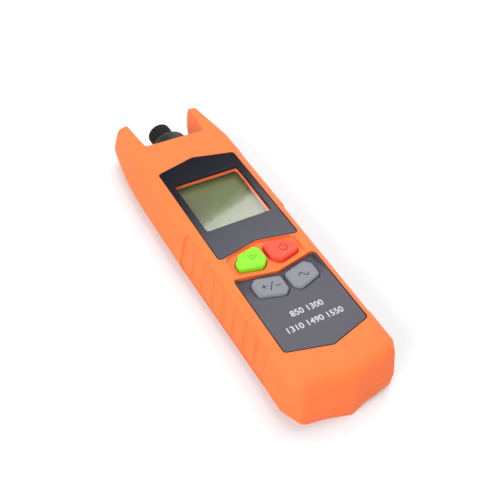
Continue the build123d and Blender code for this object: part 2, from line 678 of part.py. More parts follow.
def window_lens():
    return prism(window_outline(LENS_MARGIN), WINDOW_CORNER, LENS_BASE, PANEL_BASE)


def display_frame():
    grow = DISPLAY_MARGIN + GLASS_GAP
    frame = prism(window_outline(grow + FRAME_WALL), WINDOW_CORNER, BOARD_TOP, DISPLAY_CEILING)
    frame -= prism(window_outline(FRAME_LIP), WINDOW_CORNER, BOARD_BASE, FACE_Z)
    return frame - prism(window_outline(grow), 0.0, BOARD_BASE, GLASS_TOP)


def display_glass():
    return prism(window_outline(DISPLAY_MARGIN), 0.0, GLASS_BASE, GLASS_TOP)


def elastomer_strips():
    half = WINDOW_SIDE / 2
    strips = Part()
    for side in (-1, 1):
        y = WINDOW_Y + side * (half + DISPLAY_MARGIN - STRIP_INSET - STRIP_WIDTH / 2)
        end = half - STRIP_END
        strips += block(-end, end, y - STRIP_WIDTH / 2, y + STRIP_WIDTH / 2, BOARD_TOP, GLASS_BASE)
    return strips


def key(points, radii, side):
    stem = key_prism(points, radii, side, 0.0, KEY_BASE, FACE_Z + KEY_PROUD)
    stem = fillet(stem.faces().sort_by(Axis.Z)[-1].edges(), KEY_EDGE)
    return stem + key_prism(points, radii, side, KEY_FLANGE, KEY_BASE, KEY_BASE + KEY_FLANGE_THICKNESS)


def keypad_membrane():
    """Thin mat over the domes, hollow over each of them."""
    low = BAND_LOW - MEMBRANE_LENGTH_BELOW
    high = BAND_HIGH + MEMBRANE_LENGTH_ABOVE
    outline = rectangle(PANEL_HALF - LOWER_PANEL_RIM, low, high)
    mat = prism(outline, MEMBRANE_CORNER, BOARD_TOP, MEMBRANE_TOP)
    for x, y in key_centres():
        mat -= post(DOME_RADIUS + FIT, x, y, BOARD_BASE, BOARD_TOP + DOME_HEIGHT + FIT)
    return mat


def dome_switches():
    domes = Part()
    for x, y in key_centres():
        dome = Cone(DOME_RADIUS, DOME_RADIUS / 2, DOME_HEIGHT, align=(Align.CENTER, Align.CENTER, Align.MIN))
        domes += Pos(x, y, BOARD_TOP) * dome
    return domes


def circuit_board():
    board = prism(rectangle(BOARD_HALF, BOARD_LOW, BOARD_HIGH), BOARD_CORNER, BOARD_BASE, BOARD_TOP)
    for x, y in board_screw_places():
        board -= post(BOARD_SCREW_RADIUS + RUN_GAP, x, y, 0, FACE_Z)
    for x in LEADS_X:
        board -= post(LEAD_HOLE, x, LEAD_Y, 0, FACE_Z)
    return board


def board_screws():
    screws = Part()
    for x, y in board_screw_places():
        head = post(BOARD_SCREW_HEAD, x, y, BOARD_BASE - BOARD_SCREW_HEAD_HEIGHT, BOARD_BASE)
        screws += head + post(BOARD_SCREW_RADIUS, x, y, BOARD_BASE - FIT, BOARD_TOP + BOARD_SCREW_BITE)
    return screws


def processor_chip():
    """Square chip under the board, with pins on its four sides."""
    half = CHIP_SIDE / 2
    reach = half + CHIP_PIN_REACH
    chip = block(-half, half, -half, half, -CHIP_HEIGHT, -FIT)
    pitch = CHIP_SIDE / CHIP_PINS
    for i in range(CHIP_PINS):
        low = (i + 0.5) * pitch - half - CHIP_PIN_WIDTH / 2
        high = low + CHIP_PIN_WIDTH
        chip += block(-reach, reach, low, high, -CHIP_PIN_HEIGHT, 0)
        chip += block(low, high, -reach, reach, -CHIP_PIN_HEIGHT, 0)
    return Pos(0, WINDOW_Y, BOARD_BASE) * chip


def photodiode():
    """Can behind the adapter, with three leads that bend up into the board."""
    front = ADAPTER_BACK - DIODE_GAP
    back = front - DIODE_LENGTH
    can = rod(DIODE_RADIUS, back, front) + rod(DIODE_RADIUS + DIODE_RIM, back, back + DIODE_RIM_LENGTH)
    can -= rod(DIODE_WINDOW, front - DIODE_RIM, front + DIODE_RIM)
    thick = LEAD_SIDE / 2
    low = PORT_Z - thick
    top = BOARD_TOP + LEAD_PROUD
    for x in LEADS_X:
        can += block(x - thick, x + thick, LEAD_Y - thick, back + FIT, low, PORT_Z + thick)
        can += block(x - thick, x + thick, LEAD_Y - thick, LEAD_Y + thick, low, top)
    return can


def fiber_adapter():
    body = rod(ADAPTER_RADIUS, ADAPTER_BACK, ADAPTER_FRONT)
    body += rod(ADAPTER_RADIUS + ADAPTER_FLANGE, ADAPTER_BACK, NECK_END)
    body -= rod(ADAPTER_BORE, ADAPTER_BACK - WALL, ADAPTER_FRONT)
    body -= rod(SLEEVE_OUTER + FIT, SLEEVE_BACK, ADAPTER_FRONT)
    return body - rod(MOUTH_RADIUS, ADAPTER_FRONT - MOUTH_DEPTH, ADAPTER_FRONT + WALL)


def ceramic_sleeve():
    front = SLEEVE_BACK + SLEEVE_LENGTH
    return rod(SLEEVE_OUTER, SLEEVE_BACK, front) - rod(SLEEVE_BORE, SLEEVE_BACK - WALL, front + WALL)


def connector_collar():
    ring = rod(COLLAR_RADIUS, NOTCH_Y, COLLAR_FRONT)
    ring = fillet(ring.faces().sort_by(Axis.Y)[-1].edges(), COLLAR_EDGE)
    ring += rod(NECK_RADIUS, NECK_END, NOTCH_Y + FIT)
    return ring - rod(ADAPTER_RADIUS + FIT, NECK_END - WALL, COLLAR_FRONT + WALL)


def collar_nut():
    hexagon = extrude(RegularPolygon(NUT_ACROSS / 2, 6, major_radius=False), amount=NUT_THICKNESS)
    nut = Pos(0, PORT_INSIDE, PORT_Z) * Rot(90, 0, 0) * hexagon
    return nut - rod(NECK_RADIUS + FIT, PORT_INSIDE - 2 * NUT_THICKNESS, NOTCH_Y)


def dust_cap():
    back = COLLAR_FRONT + CAP_GAP
    front = back + CAP_LENGTH
    cap = rod(CAP_RADIUS, back, front)
    cap = fillet(cap.faces().sort_by(Axis.Y)[-1].edges(), CAP_EDGE)
    cap -= rod(ADAPTER_RADIUS + CAP_GAP, back - WALL, ADAPTER_FRONT + CAP_ROOM)
    half = CAP_GROOVE_WIDTH / 2
    start = back + CAP_GROOVE_BACK
    end = front - CAP_GROOVE_FRONT
    groove = block(CAP_RADIUS - CAP_GROOVE, CAP_RADIUS + WALL, start, end, -half, half)
    for i in range(CAP_RIBS):
        cap -= Pos(0, 0, PORT_Z) * Rot(0, 360 / CAP_RIBS * i, 0) * groove
    return cap


def battery_door():
    low = BAY_LOW - DOOR_LAP + RUN_GAP
    door = block(-DOOR_HALF, DOOR_HALF, low, HINGE_Y, DOOR_SINK, DOOR_SINK + DOOR_THICKNESS)
    hinge = Pos(0, HINGE_Y, HINGE_Z) * Rot(0, 90, 0)
    door += hinge * Cylinder(DOOR_THICKNESS / 2, 2 * DOOR_HALF)
    door += hinge * Cylinder(HINGE_PIN_RADIUS, 2 * (DOOR_HALF + HINGE_PIN_LENGTH))
    for i in range(DOOR_RIBS):
        y = low + DOOR_RIB_MARGIN + DOOR_RIB_PITCH * i
        door -= block(-DOOR_RIB_HALF, DOOR_RIB_HALF, y, y + DOOR_RIB_WIDTH, 0, DOOR_SINK + DOOR_RIB_DEPTH)
    return door


def cell(x, flat_end, tip):
    """One cell from its flat end to the tip of its nub."""
    way = 1 if tip > flat_end else -1
    shoulder = tip - way * CELL_NUB
    body = rod(CELL_RADIUS, min(flat_end, shoulder), max(flat_end, shoulder), x=x, z=CELL_Z)
    return body + rod(CELL_NUB_RADIUS, min(flat_end, tip), max(flat_end, tip), x=x, z=CELL_Z)


def batteries():
    """Three cells side by side; the middle one lies the other way round."""
    return [
        cell(-CELL_PITCH, CELL_LOW + CELL_LENGTH, CELL_LOW),
        cell(0.0, CELL_HIGH - CELL_LENGTH, CELL_HIGH),
        cell(CELL_PITCH, CELL_LOW + CELL_LENGTH, CELL_LOW),
    ]


def contact_plates():
    """Plates on the bay's end walls; the wide ones link two cells."""
    reach = CELL_PITCH + CONTACT_HALF
    near = (BAY_LOW, BAY_LOW + CONTACT_THICKNESS, CELL_Z - CONTACT_HALF, CELL_Z + CONTACT_HALF)
    far = (BAY_HIGH - CONTACT_THICKNESS, BAY_HIGH, CELL_Z - CONTACT_HALF, CELL_Z + CONTACT_HALF)
    plates = block(-reach, CONTACT_HALF - CELL_PITCH, *near)
    plates += block(-CONTACT_HALF, reach, *near)
    plates += block(-reach, CONTACT_HALF, *far)
    plates += block(CELL_PITCH - CONTACT_HALF, reach, *far)
    return plates


def contact_springs():
    """Bowed leaf springs that press on the flat end of each cell."""
    reach = SPRING_ROOM - CELL_FIT
    foot = SPRING_FOOT - SPRING_BEND
    tip = SPRING_TIP - SPRING_BEND / 2
    bow = [(-SPRING_FOOT, 0), (-SPRING_TIP, reach), (SPRING_TIP, reach), (SPRING_FOOT, 0)]
    bow += [(foot, 0), (tip, reach - SPRING_BEND), (-tip, reach - SPRING_BEND), (-foot, 0)]
    springs = Part()
    for x, start, way in (
        (-CELL_PITCH, BAY_HIGH - CONTACT_THICKNESS, -1),
        (0.0, BAY_LOW + CONTACT_THICKNESS, 1),
        (CELL_PITCH, BAY_HIGH - CONTACT_THICKNESS, -1),
    ):
        outline = [(x + a, start + way * b) for a, b in bow]
        springs += prism(outline, 0.0, CELL_Z - SPRING_HALF, CELL_Z + SPRING_HALF)
    return springs


def save(shape, name):
    solids = shape.solids()
    result = solids[0] if len(solids) == 1 else Compound(children=list(solids))
    export_step(result, f"parts/{name}.step")


def main():
    outer = housing()
    space = cavity()
    save(front_shell(outer, space), "front_shell")
    save(back_shell(outer, space), "back_shell")
    save(upper_panel(), "upper_panel")
    save(lower_panel(), "lower_panel")
    save(window_lens(), "window_lens")
    save(display_frame(), "display_frame")
    save(display_glass(), "display_glass")
    save(elastomer_strips(), "elastomer_strips")
    for name, points, radii, side in KEYS:
        save(key(points, radii, side), name)
    save(keypad_membrane(), "keypad_membrane")
    save(dome_switches(), "dome_switches")
    save(circuit_board(), "circuit_board")
    save(board_screws(), "board_screws")
    save(processor_chip(), "processor_chip")
    save(photodiode(), "photodiode")
    save(fiber_adapter(), "fiber_adapter")
    save(ceramic_sleeve(), "ceramic_sleeve")
    save(connector_collar(), "connector_collar")
    save(collar_nut(), "collar_nut")
    save(dust_cap(), "dust_cap")
    save(battery_door(), "battery_door")
    save(contact_plates(), "contact_plates")
    save(contact_springs(), "contact_springs")
    save(case_screws(), "case_screws")
    for number, battery in enumerate(batteries(), 1):
        save(battery, f"battery_{number}")


main()
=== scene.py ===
# %% [markdown]
# # Dressing an optical power meter
# The meter lies on its back on a white table. Its solids come from the CAD model and never move.
# This file only gives them their finish: welded copies that shade smoothly, moulded grain, printed
# symbols, a display, lights and a camera. Each step is one short cell, so it can be run and looked at.

import bpy
import bmesh
import json
from math import cos, pi, radians, sin
from mathutils import Matrix, Vector


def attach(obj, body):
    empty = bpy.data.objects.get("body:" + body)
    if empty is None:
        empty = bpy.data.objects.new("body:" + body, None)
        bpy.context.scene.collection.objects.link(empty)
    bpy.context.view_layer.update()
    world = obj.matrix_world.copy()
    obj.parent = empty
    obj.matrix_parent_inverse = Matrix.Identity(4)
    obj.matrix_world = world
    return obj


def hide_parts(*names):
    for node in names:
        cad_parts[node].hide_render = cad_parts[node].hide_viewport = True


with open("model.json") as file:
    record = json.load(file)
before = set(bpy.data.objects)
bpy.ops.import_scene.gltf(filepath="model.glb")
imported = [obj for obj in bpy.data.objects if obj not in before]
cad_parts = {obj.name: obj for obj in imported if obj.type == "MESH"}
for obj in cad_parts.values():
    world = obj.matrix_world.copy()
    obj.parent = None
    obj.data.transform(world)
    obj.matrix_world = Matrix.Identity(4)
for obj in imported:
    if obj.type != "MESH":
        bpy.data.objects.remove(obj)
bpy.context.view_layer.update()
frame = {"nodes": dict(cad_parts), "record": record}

# %% [markdown]
# ## The camera
# A camera is a place and a direction. The direction is kept as three angles, because they are easy to
# change by hand: how far round the meter it stands, how high it looks down from, and how far it is
# tilted to one side. From them come the three axes of the camera's own frame.

# %% Camera
AZIMUTH = radians(-33.83)
ELEVATION = radians(46.636)
ROLL = radians(5.834)
forward = -Vector((sin(AZIMUTH) * cos(ELEVATION), -cos(AZIMUTH) * cos(ELEVATION), sin(ELEVATION)))
level_right = forward.cross(Vector((0, 0, 1))).normalized()
level_up = level_right.cross(forward)
right = cos(ROLL) * level_right + sin(ROLL) * level_up
up = cos(ROLL) * level_up - sin(ROLL) * level_right

camera_data = bpy.data.cameras.new("product_camera")
camera_data.lens = 57.22
camera_data.sensor_width = 36.0
camera_data.clip_start = 0.01
camera = bpy.data.objects.new("product_camera", camera_data)
turn = Matrix((right, up, -forward)).transposed().to_4x4()
camera.matrix_world = Matrix.Translation((-0.12978, -0.20006, 0.26083)) @ turn
bpy.context.scene.collection.objects.link(camera)
bpy.context.scene.camera = camera
bpy.context.scene.view_settings.view_transform = "Standard"
print("camera stands", round(camera.location.length, 3), "m from the meter's middle")

# %% [markdown]
# ## Welding the shells
# The CAD model arrives as loose triangles, which shade flat. Moulded plastic has soft shoulders, so
# each visible piece is copied, its corners are welded, and only edges that are really sharp stay
# sharp. The copy then stands for the solid, which stays hidden in its place.

# %% Welded copies
BODY_OF = {node: body for body, nodes in frame["record"]["behaviour"]["bodies"].items() for node in nodes}
SLOT_OF = {part["node"]: part["material_slot"] for part in frame["record"]["subparts"]}


def settle(piece, body):
    """Puts a new piece in the scene, on the body that carries it."""
    bpy.context.scene.collection.objects.link(piece)
    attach(piece, body)
    return piece


def shade(shape, sharp_degrees=32, flat_top=False):
    """Smooth faces, with sharp edges only where two faces meet at a real angle."""
    for face in shape.faces:
        face.smooth = not (flat_top and face.normal.z > 0.999)
    for edge in shape.edges:
        edge.smooth = len(edge.link_faces) == 2 and edge.calc_face_angle(pi) < radians(sharp_degrees)


def welded(node):
    """A smooth-shaded copy of a solid that takes its place."""
    mesh = frame["nodes"][node].data.copy()
    mesh.materials.clear()
    shape = bmesh.new()
    shape.from_mesh(mesh)
    bmesh.ops.remove_doubles(shape, verts=shape.verts, dist=2e-6)
    shade(shape)
    shape.to_mesh(mesh)
    shape.free()
    if "custom_normal" in mesh.attributes:
        mesh.attributes.remove(mesh.attributes["custom_normal"])
    piece = settle(bpy.data.objects.new(node + "_finished", mesh), BODY_OF[node])
    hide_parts(node)
    return piece


SMOOTH_NODES = [
    "front_shell", "back_shell", "upper_panel", "lower_panel", "window_lens", "battery_door",
    "key_backlight", "key_power", "key_reference", "key_wavelength", "dust_cap", "connector_collar",
    "fiber_adapter", "ceramic_sleeve", "battery_1", "battery_2", "battery_3", "photodiode",
    "case_screws", "board_screws", "display_frame",
]
finished = {node: welded(node) for node in SMOOTH_NODES}
print("welded:", len(finished), "faces in the front shell:", len(finished["front_shell"].data.polygons))

# %% [markdown]
# ## Materials
# Every finish starts the same way: a colour, a roughness, and a little noise that moves both, with a
# fine bump for the grain. Plastic is never one flat value. The noise reads Object coordinates, which
# are metres here, so a scale of 2500 gives grain of about 0.4 mm. A Bevel node can round the shading of
# the edges, as a mould does.

# %% A plastic or metal with grain
PATCHES_PER_METRE = 60.0
PORES_PER_METRE = 2500.0
PORE_DEPTH = 0.0001


def finish(name, colour, roughness, grain=0.05, mottle=0.04, metallic=0.0, shine=0.5, soft_edge=0.0,
           shine_colour=(1.0, 1.0, 1.0)):
    """A material whose colour and roughness vary a little, with a fine bump and softened edges."""
    material = bpy.data.materials.new(name)
    material.use_nodes = True
    nodes = material.node_tree.nodes
    link = material.node_tree.links.new
    shader = nodes["Principled BSDF"]
    place = nodes.new("ShaderNodeTexCoord")

    patches = nodes.new("ShaderNodeTexNoise")
    patches.inputs["Scale"].default_value = PATCHES_PER_METRE
    patches.inputs["Detail"].default_value = 4.0
    link(place.outputs["Object"], patches.inputs["Vector"])

    tint = nodes.new("ShaderNodeMix")
    tint.data_type = "RGBA"
    tint.inputs["A"].default_value = (*[c * (1 - mottle) for c in colour], 1)
    tint.inputs["B"].default_value = (*[min(1.0, c * (1 + mottle)) for c in colour], 1)
    link(patches.outputs["Fac"], tint.inputs["Factor"])
    link(tint.outputs["Result"], shader.inputs["Base Color"])

    sheen = nodes.new("ShaderNodeMapRange")
    sheen.inputs["To Min"].default_value = roughness * 0.88
    sheen.inputs["To Max"].default_value = min(1.0, roughness * 1.12)
    link(patches.outputs["Fac"], sheen.inputs["Value"])
    link(sheen.outputs["Result"], shader.inputs["Roughness"])

    pores = nodes.new("ShaderNodeTexNoise")
    pores.inputs["Scale"].default_value = PORES_PER_METRE
    pores.inputs["Detail"].default_value = 2.0
    link(place.outputs["Object"], pores.inputs["Vector"])
    bump = nodes.new("ShaderNodeBump")
    bump.inputs["Strength"].default_value = grain
    bump.inputs["Distance"].default_value = PORE_DEPTH
    link(pores.outputs["Fac"], bump.inputs["Height"])
    link(bump.outputs["Normal"], shader.inputs["Normal"])

    if soft_edge:
        edge = nodes.new("ShaderNodeBevel")
        edge.samples = 6
        edge.inputs["Radius"].default_value = soft_edge
        link(edge.outputs["Normal"], bump.inputs["Normal"])

    shader.inputs["Metallic"].default_value = metallic
    shader.inputs["Specular IOR Level"].default_value = shine
    shader.inputs["Specular Tint"].default_value = (*shine_colour, 1)
    return material


FINISHES = {
    "housing": finish("orange_moulded_plastic", (1.0, 0.19, 0.052), 0.55, grain=0.2, mottle=0.025,
                      shine=0.15, soft_edge=0.0005),
    "panel": finish("dark_glossy_panel", (0.004, 0.0035, 0.008), 0.16, grain=0.01, shine=0.4,
                    soft_edge=0.0002, shine_colour=(0.86, 0.89, 1.0)),
    "key_green": finish("green_key_plastic", (0.235, 0.73, 0.022), 0.4, grain=0.08, shine=0.2),
    "key_red": finish("red_key_plastic", (0.78, 0.080, 0.045), 0.4, grain=0.08, shine=0.2),
    "key_grey": finish("grey_key_plastic", (0.200, 0.206, 0.232), 0.5, grain=0.3, shine=0.35),
    "display": finish("display_glass_tint", (0.058, 0.075, 0.009), 0.35, grain=0.02),
    "frame_plastic": finish("black_frame_plastic", (0.02, 0.02, 0.022), 0.6),
    "elastomer": finish("grey_silicone", (0.35, 0.35, 0.37), 0.8),
    "steel": finish("plain_steel", (0.55, 0.55, 0.56), 0.35, metallic=1.0),
    "board": finish("green_board_lacquer", (0.02, 0.16, 0.07), 0.35),
    "chip": finish("chip_epoxy", (0.02, 0.02, 0.02), 0.55),
    "nickel": finish("nickel_plate", (0.68, 0.66, 0.60), 0.25, metallic=1.0),
    "ceramic": finish("white_zirconia", (0.85, 0.85, 0.82), 0.2),
    "collar": finish("black_collar_plastic", (0.010, 0.010, 0.012), 0.35, grain=0.1, soft_edge=0.0003),
    "cap": finish("black_cap_rubber", (0.007, 0.007, 0.008), 0.6, grain=0.4, shine=0.25, soft_edge=0.0003),
    "cell": finish("blue_grey_cell_sleeve", (0.07, 0.12, 0.26), 0.35),
}
print("finishes:", len(FINISHES))

# %% [markdown]
# The window is a thin clear lens. Its glass would stop the lamps' light, because a shadow ray can't
# bend, so for shadow rays alone it is transparent. A faint cloud in its roughness is all the texture
# that clean plastic has.

# %% Clear window
glass = bpy.data.materials.new("clear_window_plastic")
glass.use_nodes = True
nodes = glass.node_tree.nodes
link = glass.node_tree.links.new
glass_shader = nodes["Principled BSDF"]
glass_shader.inputs["Base Color"].default_value = (0.96, 0.97, 0.94, 1)
glass_shader.inputs["Transmission Weight"].default_value = 1.0
glass_shader.inputs["IOR"].default_value = 1.5
place = nodes.new("ShaderNodeTexCoord")
cloud = nodes.new("ShaderNodeTexNoise")
cloud.inputs["Scale"].default_value = 90.0
link(place.outputs["Object"], cloud.inputs["Vector"])
haze = nodes.new("ShaderNodeMapRange")
haze.inputs["To Min"].default_value = 0.045
haze.inputs["To Max"].default_value = 0.07
link(cloud.outputs["Fac"], haze.inputs["Value"])
link(haze.outputs["Result"], glass_shader.inputs["Roughness"])
clear = nodes.new("ShaderNodeBsdfTransparent")
ray = nodes.new("ShaderNodeLightPath")
pane = nodes.new("ShaderNodeMixShader")
link(ray.outputs["Is Shadow Ray"], pane.inputs["Fac"])
link(glass_shader.outputs["BSDF"], pane.inputs[1])
link(clear.outputs["BSDF"], pane.inputs[2])
link(pane.outputs["Shader"], nodes["Material Output"].inputs["Surface"])
FINISHES["clear_window"] = glass
print("window:", glass.name)

# %% [markdown]
# Each piece takes the finish that its slot names. The lower panel alone is different: it is satin, so
# it stays evenly grey where the glossy upper panel mirrors the dark ceiling.

# %% Hand the finishes out
for node, slot in SLOT_OF.items():
    mesh = (finished.get(node) or frame["nodes"][node]).data
    mesh.materials.clear()
    mesh.materials.append(FINISHES[slot])

satin = finish("satin_lower_panel", (0.070, 0.068, 0.088), 0.3, grain=0.05, shine=0.2, soft_edge=0.0002)
finished["lower_panel"].data.materials[0] = satin
print("dressed:", len(SLOT_OF), "pieces")

# %% [markdown]
# ## Symbols moulded into the keys
# The keys carry shallow grooves whose walls are coloured a darker copy of the key's colour: painted
# shade in the groove. Each groove is a round-bottomed channel: a line is drawn along the key's top,
# given a thickness, and cut out of the key. The cut keeps the cutter's material, so the painted shade
# lies in the groove and nowhere else. After a cut the shading is set again, and the flat top is shaded
# flat, or the long thin triangles round a symbol would show as smudges.

# %% Cutting a groove
KEY_TOP = 0.024


def stroke_mesh(name, lines, thickness):
    """Round tubes along lines of points, as one mesh. A line whose ends meet is closed."""
    curve = bpy.data.curves.new(name, "CURVE")
    curve.dimensions = "3D"
    curve.bevel_depth = thickness / 2
    curve.bevel_resolution = 2
    curve.use_fill_caps = True
    for points in lines:
        closed = (Vector(points[0]) - Vector(points[-1])).length < 1e-7
        path = points[:-1] if closed else points
        spline = curve.splines.new("POLY")
        spline.points.add(len(path) - 1)
        for spot, (x, y, z) in zip(spline.points, path):
            spot.co = (x, y, z, 1)
        spline.use_cyclic_u = closed
    drawn = bpy.data.objects.new(name, curve)
    mesh = bpy.data.meshes.new_from_object(drawn)
    bpy.data.objects.remove(drawn)
    return mesh


def cut_out(piece, cutter_mesh, painted_shade=None):
    """Cuts a shape out of a piece; the cut walls take the painted shade's material if one is given, else
    the piece's own.
    """
    cutter = bpy.data.objects.new("cutter", cutter_mesh)
    bpy.context.scene.collection.objects.link(cutter)
    cutter_mesh.materials.clear()
    cutter_mesh.materials.append(painted_shade or piece.data.materials[0])
    cut = piece.modifiers.new("cut", "BOOLEAN")
    cut.operation = "DIFFERENCE"
    cut.solver = "EXACT"
    cut.use_self = True
    cut.material_mode = "TRANSFER"
    cut.object = cutter
    with bpy.context.temp_override(object=piece, active_object=piece):
        bpy.ops.object.modifier_apply(modifier="cut")
    bpy.data.objects.remove(cutter)
    shape = bmesh.new()
    shape.from_mesh(piece.data)
    shade(shape, flat_top=True)
    shape.to_mesh(piece.data)
    shape.free()


def arc(centre, radius, start, end, steps=24):
    """Points on part of a circle on the key tops, in degrees counted from +X."""
    spread = [radians(start + (end - start) * i / steps) for i in range(steps + 1)]
    return [(centre[0] + radius * cos(a), centre[1] + radius * sin(a), KEY_TOP) for a in spread]


def spoke(centre, inner, outer, angle):
    """A short line that points away from a centre."""
    return [(centre[0] + r * cos(angle), centre[1] + r * sin(angle), KEY_TOP) for r in (inner, outer)]


# %% [markdown]
# The green key lights the display, so it shows a sun: a ring and eight rays. The red key shows the
# ring and bar that mean power on every device. The grey keys show a plus, a slash and a minus for the
# reference level, and a wave for the choice of light.

# %% Four symbols
SUN = (-0.0063, -0.0179)
POWER = (0.0080, -0.0186)
LEVEL = (-0.0072, -0.0348)
WAVE = (0.0079, -0.0350)

sun_lines = [arc(SUN, 0.0009, 0, 360)] + [spoke(SUN, 0.0014, 0.0020, i * pi / 4) for i in range(8)]
power_lines = [arc(POWER, 0.0017, 128, 412), spoke(POWER, 0.0005, 0.0024, pi / 2)]


def on_key(centre, points):
    """Points given in millimetres from a key's middle."""
    return [(centre[0] + x / 1000, centre[1] + y / 1000, KEY_TOP) for x, y in points]


level_lines = [
    on_key(LEVEL, [(-3.9, 0.8), (-1.7, 0.8)]),
    on_key(LEVEL, [(-2.8, -0.3), (-2.8, 1.9)]),
    on_key(LEVEL, [(-1.2, -1.9), (1.5, 1.9)]),
    on_key(LEVEL, [(1.6, -0.7), (3.9, -0.7)]),
]
wave_lines = [on_key(WAVE, [(-2.2 + 4.4 * i / 32, 1.1 * sin(2 * pi * i / 32)) for i in range(33)])]

# The groove colours are darker copies of each key's colour: painted shade in the grooves.
green_groove_shade = finish("green_groove_painted_shade", (0.11, 0.42, 0.012), 0.6, shine=0.2)
red_groove_shade = finish("red_groove_painted_shade", (0.40, 0.020, 0.016), 0.6, shine=0.2)
grey_groove_shade = finish("grey_groove_painted_shade", (0.055, 0.056, 0.062), 0.6, shine=0.2)
for node, lines, width, painted_shade in (
    ("key_backlight", sun_lines, 0.00034, green_groove_shade),
    ("key_power", power_lines, 0.00042, red_groove_shade),
    ("key_reference", level_lines, 0.00042, grey_groove_shade),
    ("key_wavelength", wave_lines, 0.00046, grey_groove_shade),
):
    cut_out(finished[node], stroke_mesh(node + "_symbol", lines, width), painted_shade)
    print(node, "faces after the cut:", len(finished[node].data.polygons))

# %% [markdown]
# ## Numbers on the lower panel
# Two lines of plain white numbers stand where the meter has its print: wavelengths in nanometres. The
# letters are made at any size, turned into a mesh, and then scaled to the height and width they need.

# %% White print
PANEL_TOP = 0.0229
PRINT_THICKNESS = 0.00004
white_ink = finish("white_print", (0.56, 0.56, 0.60), 0.5, grain=0.02, shine=0.3)


def printed(name, text, width, height, baseline):
    """A line of print on the lower panel, centred, with its feet on the baseline."""
    curve = bpy.data.curves.new(name, "FONT")
    curve.body = text
    curve.extrude = 0.01
    curve.offset = 0.012
    drawn = bpy.data.objects.new(name, curve)
    mesh = bpy.data.meshes.new_from_object(drawn)
    bpy.data.objects.remove(drawn)
    low = Vector([min(v.co[axis] for v in mesh.vertices) for axis in range(3)])
    high = Vector([max(v.co[axis] for v in mesh.vertices) for axis in range(3)])
    grow = (width / (high.x - low.x), height / (high.y - low.y), PRINT_THICKNESS / (high.z - low.z))
    shift = (-(low.x + high.x) / 2, -low.y, -low.z)
    mesh.transform(Matrix.Diagonal((*grow, 1)) @ Matrix.Translation(shift))
    mesh.transform(Matrix.Translation((0, baseline, PANEL_TOP - PRINT_THICKNESS / 4)))
    mesh.materials.clear()
    mesh.materials.append(white_ink)
    return settle(bpy.data.objects.new(name, mesh), "meter")


DIGIT_HEIGHT = 0.0028
printed("print_upper_numbers", "850 1300", 0.0148, DIGIT_HEIGHT, -0.0512)
printed("print_lower_numbers", "1310 1490 1550", 0.0252, DIGIT_HEIGHT, -0.0576)
print("print: two lines, digits", DIGIT_HEIGHT * 1000, "mm high")

# %% [markdown]
# ## The dark line round the panels
# Each panel sits in its recess with a narrow gap, and the shadow in that gap is painted as a thin black
# line on the housing's face: painted shadow. The line is made from the panel's own outline: its outer
# loop of edges is filled, grown outwards by the width of the line, and the middle is taken out again.
# On the lower panel it ends where the sunk part begins.

# %% Glue line
# The ring is painted shadow: a black line that stands for the shade in the gap round each panel.
SEAM_SHADOW_LEVEL = 0.02302
SEAM_SHADOW_WIDTH = 0.00045
SUNK_PART_START = -0.0370
painted_seam_shadow = finish("painted_seam_shadow", (0.012, 0.010, 0.010), 0.7, shine=0.2)


def seam_shadow_line(name, node, highest_y=1.0):
    """A thin black ring round a panel, laid on the housing's face beside it: the painted shadow of its
    seam.
    """
    shape = bmesh.new()
    shape.from_mesh(frame["nodes"][node].data)
    bmesh.ops.remove_doubles(shape, verts=shape.verts, dist=2e-6)
    rest = [face for face in shape.faces if face.normal.z < 0.9]
    bmesh.ops.delete(shape, geom=rest, context="FACES")
    inner = [edge for edge in shape.edges if len(edge.link_faces) != 1]
    bmesh.ops.delete(shape, geom=list(shape.faces), context="FACES_ONLY")
    bmesh.ops.delete(shape, geom=inner, context="EDGES")
    outer = {min((v for v in shape.verts if v.link_edges), key=lambda v: v.co.y)}
    fresh = set(outer)
    while fresh:
        fresh = {edge.other_vert(v) for v in fresh for edge in v.link_edges} - outer
        outer |= fresh
    bmesh.ops.delete(shape, geom=[v for v in shape.verts if v not in outer], context="VERTS")
    for vert in shape.verts:
        vert.co.z = SEAM_SHADOW_LEVEL
    plate = bmesh.ops.edgeloop_fill(shape, edges=shape.edges)["faces"]
    bmesh.ops.inset_individual(shape, faces=plate, thickness=-SEAM_SHADOW_WIDTH)
    spare = [f for f in shape.faces if len(f.verts) > 4 or f.calc_center_median().y > highest_y]
    bmesh.ops.delete(shape, geom=spare, context="FACES")
    bmesh.ops.recalc_face_normals(shape, faces=shape.faces)
    mesh = bpy.data.meshes.new(name)
    shape.to_mesh(mesh)
    shape.free()
    mesh.materials.append(painted_seam_shadow)
    print(name, "faces:", len(mesh.polygons))
    return settle(bpy.data.objects.new(name, mesh), "meter")


# Painted shadow of the seam round each panel.
seam_shadow_line("seam_shadow_upper_panel", "upper_panel")
seam_shadow_line("seam_shadow_lower_panel", "lower_panel", SUNK_PART_START)

# %% [markdown]
# ## Screw heads and thread
# On the underside the four case screws have cross slots. A cross is two thin wedges, narrower at the
# bottom, cut out of each head. Under the dust cap the port's thread is a wave in the bump alone.

# %% Cross slots
HEAD_FACE = 0.0007
SCREW_PLACES = [(x, y) for x in (-0.0155, 0.0155) for y in (-0.0700, 0.0560)]


